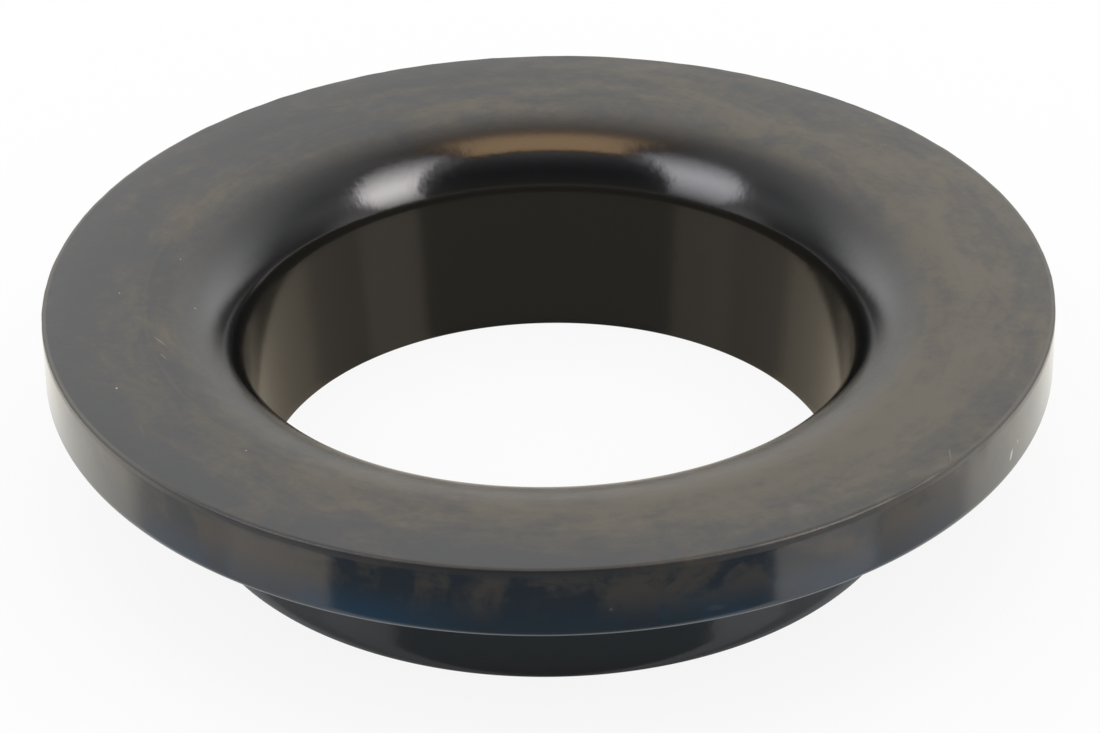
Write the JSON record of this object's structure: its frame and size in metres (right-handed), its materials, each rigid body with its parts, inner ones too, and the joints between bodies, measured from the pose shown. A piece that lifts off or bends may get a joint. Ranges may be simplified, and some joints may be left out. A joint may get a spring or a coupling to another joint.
{
  "type": "coil spring insulator",
  "caption": "Flanged rubber ring that isolates a suspension coil spring from its seat: a flat flange, a piloting collar and a flared bore.",
  "frame": {"origin": "on the ring's axis, on the surface that the foot of the collar stands on", "axes": "+Z along the ring's axis, from the foot of the collar to the flange's flat top"},
  "size_m": [0.127, 0.127, 0.0274],
  "materials": {
    "rubber": "dense black moulded rubber with a smooth satin skin and a faint brown and blue bloom"
  },
  "bodies": {
    "root": {"insulator_ring": "rubber"}
  },
  "joints": []
}
